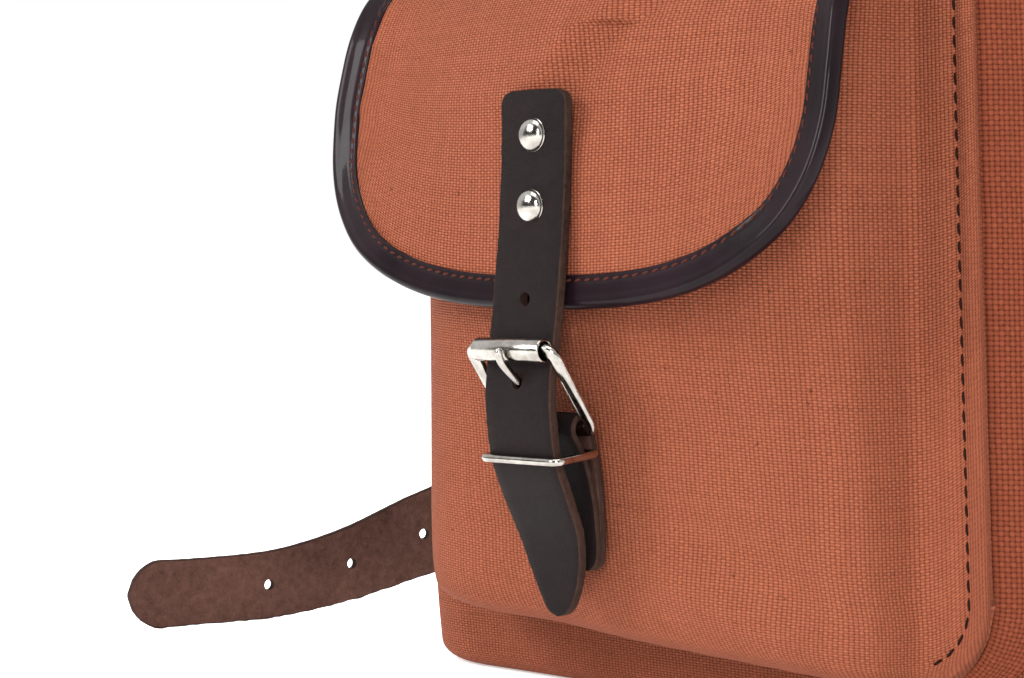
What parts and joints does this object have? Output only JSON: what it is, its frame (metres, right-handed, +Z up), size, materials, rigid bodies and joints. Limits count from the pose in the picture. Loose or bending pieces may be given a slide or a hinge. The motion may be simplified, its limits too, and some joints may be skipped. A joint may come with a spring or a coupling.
{
  "type": "canvas rucksack",
  "caption": "Upright canvas rucksack with a buckled front pocket, leather-bound flaps, buckled lid, shoulder straps and a grab handle.",
  "frame": {"origin": "middle of the bounding box at floor height", "axes": "+Z up, the front pocket faces -Y, +X to the bag's left-hand wearer side"},
  "size_m": [0.4988, 0.2622, 0.4468],
  "materials": {
    "canvas": "matt woven cotton",
    "canvas_shade": "matt woven cotton, turned a quarter",
    "dark_leather": "satin, rough on the inside",
    "binding_leather": "glossy, thin and folded",
    "nickel": "satin plated"
  },
  "bodies": {
    "root": {"body_front": "canvas", "body_back": "canvas", "body_side_right": "canvas", "body_side_left": "canvas", "body_base": "canvas", "pocket_panel": "canvas", "pocket_gusset": "canvas_shade", "pocket_flap": "canvas", "pocket_flap_binding": "binding_leather", "lid": "canvas", "lid_binding": "binding_leather", "pocket_strap": "dark_leather", "pocket_rivet_upper": "nickel", "pocket_rivet_lower": "nickel", "pocket_buckle_frame": "nickel", "pocket_buckle_roller": "nickel", "pocket_buckle_tongue": "nickel", "pocket_chape": "dark_leather", "pocket_keeper": "nickel", "lid_right_strap": "dark_leather", "lid_right_rivet_upper": "nickel", "lid_right_rivet_lower": "nickel", "lid_right_buckle_frame": "nickel", "lid_right_buckle_roller": "nickel", "lid_right_buckle_tongue": "nickel", "lid_right_chape": "dark_leather", "lid_right_keeper": "nickel", "lid_left_strap": "dark_leather", "lid_left_rivet_upper": "nickel", "lid_left_rivet_lower": "nickel", "lid_left_buckle_frame": "nickel", "lid_left_buckle_roller": "nickel", "lid_left_buckle_tongue": "nickel", "lid_left_chape": "dark_leather", "lid_left_keeper": "nickel", "shoulder_strap_right": "dark_leather", "shoulder_strap_left": "dark_leather", "shoulder_anchor_rivet_right": "nickel", "shoulder_anchor_rivet_left": "nickel", "shoulder_buckle_frame_right": "nickel", "shoulder_buckle_frame_left": "nickel", "shoulder_buckle_roller_right": "nickel", "shoulder_buckle_roller_left": "nickel", "shoulder_buckle_tongue_right": "nickel", "shoulder_buckle_tongue_left": "nickel", "shoulder_chape_right": "dark_leather", "shoulder_chape_left": "dark_leather", "shoulder_keeper_right": "nickel", "shoulder_keeper_left": "nickel", "handle": "dark_leather", "handle_rivet_right": "nickel", "handle_rivet_left": "nickel"}
  },
  "joints": []
}
